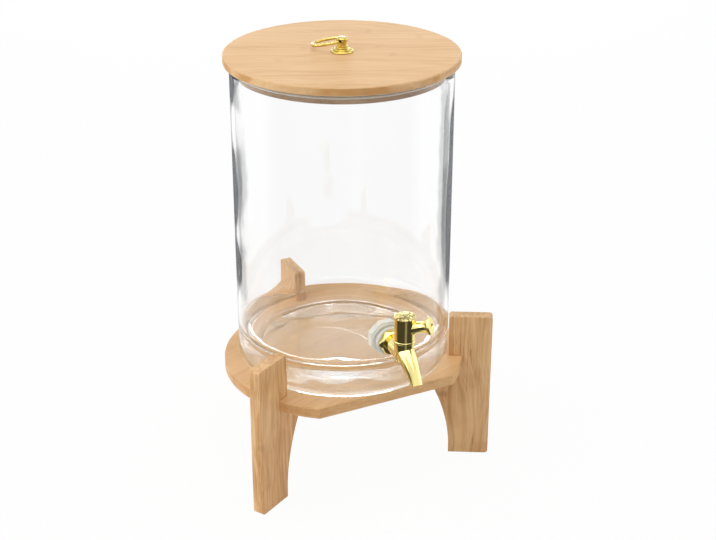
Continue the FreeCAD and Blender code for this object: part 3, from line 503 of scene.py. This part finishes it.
def ribs_tree():
    """Sets long ribs in a circle on the piece that it is given, each turned outwards."""
    r, given = new_tree("ribs in a circle", {
        "Cap": "NodeSocketGeometry",
        "Rib Count": "NodeSocketInt",
        "Rib Circle": "NodeSocketFloat",
        "Rib Long": "NodeSocketFloat",
        "Rib Wide": "NodeSocketFloat",
        "Rib Tall": "NodeSocketFloat",
        "Lift": "NodeSocketFloat",
        "Lean": "NodeSocketFloat",
        "Finish": "NodeSocketMaterial",
    })
    ring = r.node("GeometryNodeMeshCircle", inputs={
        "Vertices": given["Rib Count"], "Radius": given["Rib Circle"]})
    rib = r.node("GeometryNodeMeshIcoSphere", inputs={"Radius": 1.0, "Subdivisions": 2})
    size = r.together(given["Rib Long"], given["Rib Wide"], given["Rib Tall"])
    index = r.node("GeometryNodeInputIndex")
    heading = index / given["Rib Count"] * (2 * math.pi)
    turn = r.together(0.0, given["Lean"], heading)
    ribs = r.node("GeometryNodeInstanceOnPoints", inputs={
        "Points": ring, "Instance": rib, "Rotation": turn, "Scale": size})
    lifted = r.node("GeometryNodeTransform", inputs={
        "Geometry": ribs, "Translation": r.together(0.0, 0.0, given["Lift"])})
    both = r.node("GeometryNodeJoinGeometry", inputs={"Geometry": given["Cap"]})
    r.tree.links.new(lifted.socket, both.socket.node.inputs["Geometry"])
    return ended(r, both, given["Finish"])


def thread_tree():
    """Winds a rounded thread up Z."""
    r, given = new_tree("wound thread", {
        "Core Radius": "NodeSocketFloat",
        "Crest Radius": "NodeSocketFloat",
        "Turns": "NodeSocketFloat",
        "Length": "NodeSocketFloat",
        "Finish": "NodeSocketMaterial",
    })
    path = r.node("GeometryNodeCurveSpiral", inputs={
        "Resolution": 48, "Rotations": given["Turns"], "Start Radius": given["Core Radius"],
        "End Radius": given["Core Radius"], "Height": given["Length"]})
    crest = r.node("GeometryNodeCurvePrimitiveCircle", {"mode": "RADIUS"},
                   {"Resolution": 8, "Radius": given["Crest Radius"]})
    thread = r.node("GeometryNodeCurveToMesh", inputs={
        "Curve": path, "Profile Curve": crest, "Fill Caps": True})
    return ended(r, thread, given["Finish"])


def wire_ring_tree():
    """Bends a round wire into a closed ring round Z."""
    r, given = new_tree("ring of wire", {
        "Ring Radius": "NodeSocketFloat",
        "Wire Radius": "NodeSocketFloat",
        "Finish": "NodeSocketMaterial",
    })
    round_curve = {"mode": "RADIUS"}
    path = r.node("GeometryNodeCurvePrimitiveCircle", round_curve,
                  {"Resolution": 128, "Radius": given["Ring Radius"]})
    wire = r.node("GeometryNodeCurvePrimitiveCircle", round_curve,
                  {"Resolution": 24, "Radius": given["Wire Radius"]})
    ring = r.node("GeometryNodeCurveToMesh", inputs={"Curve": path, "Profile Curve": wire})
    return ended(r, ring, given["Finish"])


def mesh_of(tree, inputs, base=None):
    """Plain mesh that a tree makes from its named inputs, on a base mesh if it takes one."""
    mesh = base or bpy.data.meshes.new("base")
    holder = bpy.data.objects.new("holder", mesh)
    scene.collection.objects.link(holder)
    modifier = holder.modifiers.new("made", "NODES")
    modifier.node_group = tree
    for item in tree.interface.items_tree:
        if item.in_out == "INPUT" and item.name in inputs:
            modifier[item.identifier] = inputs[item.name]
    bpy.context.view_layer.update()
    seen = holder.evaluated_get(bpy.context.evaluated_depsgraph_get())
    made = bpy.data.meshes.new_from_object(seen)
    holder.modifiers.remove(modifier)
    bpy.data.objects.remove(holder)
    return made


def smoothed(mesh, sharp_over=math.radians(38)):
    """Outward faces, smooth but for the edges that turn by more than the angle."""
    work = bmesh.new()
    work.from_mesh(mesh)
    bmesh.ops.recalc_face_normals(work, faces=work.faces)
    for face in work.faces:
        face.smooth = True
    for edge in work.edges:
        edge.smooth = len(edge.link_faces) == 2 and edge.calc_face_angle(0.0) < sharp_over
    work.to_mesh(mesh)
    work.free()
    return mesh


def turned_mesh(name, outline, material, steps):
    """Solid of revolution round Z from an outline of (radius, height) points."""
    points = bpy.data.meshes.new(name + " outline")
    points.from_pydata([(radius, 0, high) for radius, high in outline], [], [])
    holder = bpy.data.objects.new(name + " outline", points)
    scene.collection.objects.link(holder)
    made = mesh_of(TURNED, {"Outline": holder, "Steps": steps, "Finish": material})
    bpy.data.objects.remove(holder)
    return smoothed(made)


def as_piece(name, mesh, body, stands_for=()):
    """Adds a finished mesh that rides a body, in place of the nodes that it stands for."""
    piece = bpy.data.objects.new(name, mesh)
    scene.collection.objects.link(piece)
    mesh.name = name
    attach(piece, body)
    if stands_for:
        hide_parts(*stands_for)
    return piece


def rounded(centre, radius, start, end, steps):
    """Points of an arc round a centre, from one angle to another, in degrees."""
    points = []
    for step in range(steps + 1):
        angle = math.radians(start + (end - start) * step / steps)
        points.append((centre[0] + radius * math.cos(angle), centre[1] + radius * math.sin(angle)))
    return points


TURNED = turned_tree()
RIBS = ribs_tree()
THREAD = thread_tree()
WIRE_RING = wire_ring_tree()


def along_stem():
    """Turns a piece's own Z to point out along the tap's stem."""
    return Matrix.Rotation(TAP_TURN, 4, "Z") @ Matrix.Rotation(math.radians(90), 4, "X")


def burnished(node, name, body, material):
    """The node's own shape with smooth, polished faces."""
    mesh = nodes[node].data.copy()
    work = bmesh.new()
    work.from_mesh(mesh)
    bmesh.ops.remove_doubles(work, verts=work.verts, dist=2e-6)
    work.to_mesh(mesh)
    work.free()
    mesh.materials.clear()
    mesh.materials.append(material)
    as_piece(name, smoothed(mesh, math.radians(28)), body, [node])


def jar_outline():
    """The jar's half section, from the middle of its foot round to the middle of its base."""
    outer, inner = JAR_RADIUS, JAR_RADIUS - JAR_WALL
    foot = outer - JAR_HEEL * 1.5
    rim_foot = JAR_TALL - JAR_RIM
    bowl_top = JAR_BASE + BOWL_TALL
    floor = inner - BOWL_WIDE
    floor_steps, wall_steps = 12, 24

    outline = []
    for step in range(floor_steps):
        share = step / floor_steps
        outline.append((foot * share, JAR_PUNT * (1 - share ** 2)))
    outline.append((foot, 0))
    outline += rounded((outer - JAR_HEEL, JAR_HEEL), JAR_HEEL, -90, 0, 16)
    for step in range(1, wall_steps):
        outline.append((outer, JAR_HEEL + (rim_foot - JAR_HEEL) * step / wall_steps))
    outline += rounded((outer - JAR_RIM, rim_foot), JAR_RIM, 0, 90, 6)
    outline += rounded((inner + JAR_RIM, rim_foot), JAR_RIM, 90, 180, 6)
    for step in range(wall_steps - 1, 0, -1):
        outline.append((inner, bowl_top + (rim_foot - bowl_top) * step / wall_steps))
    for wide, tall in rounded((0, 0), 1, 0, -90, 36):
        outline.append((floor + BOWL_WIDE * wide, JAR_BASE + BOWL_TALL * (1 + tall)))
    for step in range(floor_steps - 1, -1, -1):
        outline.append((floor * step / floor_steps, JAR_BASE))
    return outline


def lobed(mesh):
    """Pushes the bowl's slope out and in, a few times round; its rim and middle stay."""
    inner = JAR_RADIUS - JAR_WALL
    near = MM / 10
    for vertex in mesh.vertices:
        spot = vertex.co
        radius = math.hypot(spot.x, spot.y)
        if JAR_BASE - near < spot.z < JAR_BASE + BOWL_TALL and radius < inner - near:
            lobe = math.cos(LOBE_COUNT * (math.atan2(spot.y, spot.x) - LOBE_HEADING))
            share = math.sin(math.pi * min(1, radius / inner)) ** 2
            spot.xy = spot.xy * (1 + LOBE_DEPTH * lobe * share)


def glass_jar(material):
    """The jar: a thick bowl-shaped base, a rounded heel, a hollow foot and the tap's hole."""
    mesh = turned_mesh("glass jar", jar_outline(), material, 240)
    lobed(mesh)

    hole = bpy.data.meshes.new("tap hole")
    cutter = bmesh.new()
    bmesh.ops.create_cone(cutter, cap_ends=True, segments=48, radius1=TAP_HOLE_RADIUS,
                          radius2=TAP_HOLE_RADIUS, depth=5 * JAR_WALL)
    cutter.to_mesh(hole)
    cutter.free()
    mid_wall = Matrix.Rotation(TAP_TURN, 4, "Z") @ Vector((0, JAR_WALL / 2 - JAR_RADIUS, 0))
    mid_wall.z = TAP_HIGH - JAR_LOW.z
    hole.transform(Matrix.Translation(mid_wall) @ along_stem())
    tool = bpy.data.objects.new("tap hole", hole)
    blank = bpy.data.objects.new("jar blank", mesh)
    for item in (tool, blank):
        scene.collection.objects.link(item)
    cut = blank.modifiers.new("hole", "BOOLEAN")
    cut.operation = "DIFFERENCE"
    cut.solver = "EXACT"
    cut.object = tool
    bpy.context.view_layer.update()
    seen = blank.evaluated_get(bpy.context.evaluated_depsgraph_get())
    drilled = bpy.data.meshes.new_from_object(seen)
    blank.modifiers.remove(cut)
    for item in (tool, blank):
        bpy.data.objects.remove(item)
    drilled.transform(Matrix.Translation(JAR_FOOT))
    drilled.materials.clear()
    drilled.materials.append(material)
    as_piece("clear_jar", smoothed(drilled), "jar", ["glass_jar"])


def tap_crown(material):
    """Low dome on the sleeve, with a knurled rim, raised spokes and a smooth button."""
    low, high = (Vector(corner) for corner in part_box("tap_cap"))
    radius = (high.x - low.x) / 2
    tall = high.z - low.z
    rim = tall * 0.42
    # points as shares of the radius, and of the rim's height or of the whole height
    edge = [(0, 0), (0.93, 0), (0.955, 0.15), (0.955, 0.85), (0.925, 1.0), (0.87, 1.22)]
    top = [(0.72, 0.68), (0.52, 0.8), (0.34, 0.87), (0.3, 0.85), (0.27, 0.89), (0.2, 0.96),
           (0.1, 0.99), (0, 1)]
    outline = [(radius * out, rim * high) for out, high in edge]
    outline += [(radius * out, tall * high) for out, high in top]
    dome = turned_mesh("tap crown", outline, material, 96)
    rim_ribs = {
        "Rib Count": 28, "Rib Circle": radius * 0.94, "Rib Long": radius * 0.058,
        "Rib Wide": radius * 0.07, "Rib Tall": rim * 0.5, "Lift": rim * 0.5, "Lean": 0.0,
        "Finish": material}
    spokes = {
        "Rib Count": 16, "Rib Circle": radius * 0.63, "Rib Long": radius * 0.29,
        "Rib Wide": radius * 0.075, "Rib Tall": tall * 0.2, "Lift": tall * 0.69,
        "Lean": math.atan2(tall * 0.36, radius * 0.53), "Finish": material}
    mesh = mesh_of(RIBS, spokes, base=mesh_of(RIBS, rim_ribs, base=dome))
    centre = (low + high) / 2
    mesh.transform(Matrix.Translation((centre.x, centre.y, low.z)))
    as_piece("ribbed_crown", smoothed(mesh), "valve", ["tap_cap"])


def lifting_ring(material):
    """Round wire ring that hangs in the head's eye and lies towards one side."""
    joints = frame["record"]["behaviour"]["joints"]
    swing = next(joint for joint in joints if joint["name"] == "ring_swing")
    centre = middle("handle_ring")
    reach = centre - Vector(swing["pos_m"])
    mesh = mesh_of(WIRE_RING, {
        "Ring Radius": reach.length,
        "Wire Radius": RING_WIRE,
        "Finish": material,
    })
    normal = reach.cross(Vector(swing["axis"]))
    facing = normal.to_track_quat("Z", "Y").to_matrix().to_4x4()
    mesh.transform(Matrix.Translation(centre) @ facing)
    as_piece("lifting_ring", smoothed(mesh), "ring", ["handle_ring"])


def stepped_rosette(material):
    """Foot of the handle: a rounded rim, a groove, a second step and the neck's seat."""
    low, high = (Vector(corner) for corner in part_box("handle_rosette"))
    radius = (high.x - low.x) / 2
    tall = high.z - low.z
    bore, rim, step = 3.05 * MM, 1.5 * MM, 1.3 * MM
    step_radius, seat_radius, seat_edge = 7.4 * MM, 5.7 * MM, 0.6 * MM
    outline = [(bore, 0), (radius - rim / 2, 0)]
    outline += rounded((radius - rim / 2, rim / 2), rim / 2, -90, 90, 10)
    outline += [(radius - 1.5 * MM, rim), (radius - 1.8 * MM, rim * 0.8),
                (step_radius + 0.3 * MM, rim * 0.8), (step_radius, rim)]
    outline += rounded((step_radius - step / 2, rim + step / 2), step / 2, 0, 90, 6)
    outline += [(seat_radius + 0.5 * MM, rim + step), (seat_radius, rim + step + 0.3 * MM)]
    outline += rounded((seat_radius - seat_edge, tall - seat_edge), seat_edge, 0, 90, 6)
    outline += [(bore, tall), (bore, 0)]
    mesh = turned_mesh("rosette", outline, material, 120)
    centre = (low + high) / 2
    mesh.transform(Matrix.Translation((centre.x, centre.y, low.z)))
    as_piece("stepped_rosette", smoothed(mesh), "lid", ["handle_rosette"])


def housing_bead(material):
    """Rounded bead over the ring at the top of the valve's housing."""
    cap_low, cap_high = (Vector(corner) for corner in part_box("tap_cap"))
    centre = (cap_low + cap_high) / 2
    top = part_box("tap_body")[1][2]
    outline = [(BEAD_ROOT + (BEAD_BULGE - BEAD_ROOT) * wide, BEAD_TALL / 2 * (1 + high))
               for wide, high in rounded((0, 0), 1, -90, 90, 12)]
    outline.append((BEAD_ROOT, 0))
    mesh = turned_mesh("bead", outline, material, 96)
    mesh.transform(Matrix.Translation((centre.x, centre.y, top - BEAD_UNDER_TOP)))
    as_piece("housing_bead", smoothed(mesh), "jar")


def lipped_gasket(material):
    """Soft ring round the plug with two lips that reach out to the glass."""
    low, high = (Vector(corner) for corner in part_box("lid_gasket"))
    plug_low, plug_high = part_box("lid_plug")
    tall = high.z - low.z
    lip = (high.x - low.x) / 2
    root = (plug_high[0] - plug_low[0]) / 2 - 2.2 * MM
    groove, corner, shoulder = root + 0.5 * MM, lip - 0.3 * MM, lip - 0.2 * MM
    # heights as shares of the gasket's own
    section = [(root, 0), (groove, 0), (corner, 0.04), (lip, 0.12), (shoulder, 0.26),
               (groove, 0.33), (groove, 0.67), (shoulder, 0.74), (lip, 0.88), (corner, 0.96),
               (groove, 1), (root, 1), (root, 0)]
    outline = [(out, tall * share) for out, share in section]
    mesh = turned_mesh("gasket", outline, material, 180)
    centre = (low + high) / 2
    mesh.transform(Matrix.Translation((centre.x, centre.y, low.z)))
    as_piece("lipped_gasket", smoothed(mesh), "lid", ["lid_gasket"])


def stem_thread(material):
    """Thread on the end of the stem that stands out of the nut, inside the jar."""
    mesh = mesh_of(THREAD, {
        "Core Radius": THREAD_CORE,
        "Crest Radius": THREAD_CREST,
        "Turns": 2.0,
        "Length": THREAD_LONG,
        "Finish": material,
    })
    start = JAR_AXIS + TAP_OUT * (JAR_RADIUS - THREAD_START) + Vector((0, 0, TAP_HIGH))
    mesh.transform(Matrix.Translation(start) @ along_stem())
    as_piece("stem_thread", smoothed(mesh), "jar")


# ---------------------------------------------------------------- the dispenser


def dress(node, material):
    """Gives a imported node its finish."""
    for slot in nodes[node].material_slots:
        slot.material = material


def dress_dispenser():
    """Finishes every node, and sets the finer pieces in the places of the plain ones."""
    for seed, (leg, heading) in enumerate(LEG_HEADINGS.items(), start=3):
        shade = LEG_SHADES[leg]
        pale, deep = (tuple(step * shade for step in colour) for colour in (LEG_PALE, LEG_DEEP))
        dress(leg, bamboo(name=leg.replace("_", " ") + " bamboo", heading=math.radians(heading),
                          pale=pale, deep=deep, seed=float(seed), **LEG_WOOD))
    for board, wood in BOARD_WOODS.items():
        dress(board, bamboo(**wood))
    gold = polished_gold("polished gold", (251, 235, 156), roughness=0.07, hammered=0.08)
    # painted shade: strong darkening in the low places gives the knurl dark speckles
    rough_gold = polished_gold("knurled gold", (250, 236, 166), roughness=0.14, hammered=1.0,
                               grain=640.0, hollow_shade=0.62)
    # painted shade: the handle's gold is a darker copy of the tap's, in place of the shade on the
    # handle
    shaded_handle_gold = polished_gold("smooth gold with painted shade", (228, 205, 112), roughness=0.14, hammered=0.02,
                              grain=210.0, hollow_shade=0.85)
    dress("tap_plug", gold)
    stepped_rosette(shaded_handle_gold)
    burnished("handle_post", "eye_post", "lid", shaded_handle_gold)
    lifting_ring(shaded_handle_gold)
    burnished("tap_body", "gold_tap", "jar", gold)
    burnished("tap_handle", "lever_sleeve", "valve", gold)
    burnished("lever_knob", "flared_knob", "valve", gold)
    silicone = soft_white("silicone", (236, 234, 226), roughness=0.42, glow=0.25)
    for node in ("tap_washer_outer", "tap_washer_inner"):
        dress(node, silicone)
    dress("tap_nut", soft_white("nut plastic", (252, 248, 238), roughness=0.3, glow=0.3))
    rubber = dark_rubber()
    for node in ("plug_seal_upper", "plug_seal_lower"):
        dress(node, rubber)
    steel = turned_steel()
    for node in ("valve_screw", "handle_screw", "handle_washer"):
        dress(node, steel)
    glass_jar(clear_glass())
    lipped_gasket(silicone)
    tap_crown(rough_gold)
    stem_thread(gold)
    housing_bead(gold)


# ---------------------------------------------------------------- studio


def dim_side(r, x, y):
    """1 on the side of the room that is left dim, behind the camera, and 0 on the others; a
    lighter strip runs up the dim side."""
    length = (x * x + y * y).math("SQRT").math("MAXIMUM", 1e-4)
    towards = (x * DIM_WAY[0] + y * DIM_WAY[1]) / length
    across = (y * DIM_WAY[0] - x * DIM_WAY[1]) / length
    strip = 1 - (across - 0.26).math("ABSOLUTE").between(0.06, 0.2)
    return towards.between(0.05, 0.45) * (1 - strip * 0.24)


def white_floor():
    """Pale floor: plain white where it is seen, with the object's shadow left on it."""
    material, r = finish_named("pale floor")
    ray = r.node("ShaderNodeLightPath", output="Is Camera Ray")
    seen = ray.math("MAXIMUM", r.more(ray, "Is Transmission Ray"))
    shiny = r.more(ray, "Is Glossy Ray") * (1 - seen)
    x, y, z = r.apart(r.point())
    far = (x * x + y * y).math("SQRT").between(0.15, 0.24)
    card = r.node("ShaderNodeBsdfDiffuse", inputs={"Color": (0.9, 0.9, 0.9, 1)})
    white = r.node("ShaderNodeEmission", inputs={"Color": WHITE, "Strength": 1.0})
    mirrored = r.node("ShaderNodeEmission", inputs={
        "Color": r.mix(far * dim_side(r, x, y), WHITE, DIM_ROOM), "Strength": 1.0})
    plain = r.node("ShaderNodeMixShader", inputs={0: seen * FLOOR_WHITE, 1: card, 2: white})
    r.surface(r.node("ShaderNodeMixShader", inputs={0: shiny, 1: plain, 2: mirrored}))
    mesh = bpy.data.meshes.new("floor")
    corners = [(side * FLOOR_HALF, end * FLOOR_HALF, 0)
               for side, end in ((-1, -1), (1, -1), (1, 1), (-1, 1))]
    mesh.from_pydata(corners, [], [(0, 1, 2, 3)])
    mesh.materials.append(material)
    floor = bpy.data.objects.new("floor", mesh)
    floor.location.z = -FLOOR_UNDER
    scene.collection.objects.link(floor)


def studio_room():
    """White where it is seen; metal sees white walls and a ceiling, and one dim side."""
    world = bpy.data.worlds.new("studio room")
    world.use_nodes = True
    scene.world = world
    r = Recipe(world.node_tree)
    ray = r.node("ShaderNodeLightPath", output="Is Camera Ray")
    seen = ray.math("MAXIMUM", r.more(ray, "Is Transmission Ray"))
    shiny = r.more(ray, "Is Glossy Ray")
    direction = r.node("ShaderNodeTexCoord", output="Generated")
    x, y, z = r.apart(direction)
    dim = dim_side(r, x, y) * (1 - z.between(0.02, 0.26))
    room = r.mix(dim, WHITE, DIM_ROOM)
    light = r.mix(shiny, ROOM_LIGHT, room)
    colour = r.mix(seen, light, WHITE)
    backdrop = r.node("ShaderNodeBackground", inputs={"Color": colour, "Strength": 1.0})
    r.node("ShaderNodeOutputWorld", inputs={"Surface": backdrop})


def softbox(name, place, target, size, power):
    """Area lamp at a place, aimed at a target."""
    lamp = bpy.data.lights.new(name, "AREA")
    lamp.shape = "RECTANGLE"
    lamp.size, lamp.size_y = size
    lamp.energy = power
    item = bpy.data.objects.new(name, lamp)
    item.location = place
    item.rotation_euler = (Vector(target) - Vector(place)).to_track_quat("-Z", "Y").to_euler()
    scene.collection.objects.link(item)


def camera():
    """Camera in front and to the left of the tap, looking down on the dispenser."""
    eye = bpy.data.cameras.new("camera")
    eye.sensor_width = SENSOR_WIDE
    eye.lens = LENS_PER_SENSOR * SENSOR_WIDE
    eye.clip_start = 0.05
    item = bpy.data.objects.new("camera", eye)
    out = Vector((math.sin(CAMERA_HEADING), -math.cos(CAMERA_HEADING), 0)) * CAMERA_AWAY
    item.location = JAR_AXIS + out + Vector((0, 0, CAMERA_HIGH))
    tilt = math.radians(90) - CAMERA_DOWN
    item.rotation_euler = Euler((tilt, 0, CAMERA_HEADING - CAMERA_ASIDE))
    scene.collection.objects.link(item)
    scene.camera = item


def studio():
    """Floor, room, lamps and camera, with bounces enough for the jar's heavy glass."""
    white_floor()
    studio_room()
    for name, place, target, size, power in SOFTBOXES:
        softbox(name, place, target, size, power)
    camera()
    scene.cycles.max_bounces = 24
    scene.cycles.glossy_bounces = 16
    scene.cycles.transmission_bounces = 24
    scene.cycles.transparent_max_bounces = 24
    scene.view_settings.view_transform = "Standard"


dress_dispenser()
studio()
bpy.context.view_layer.update()
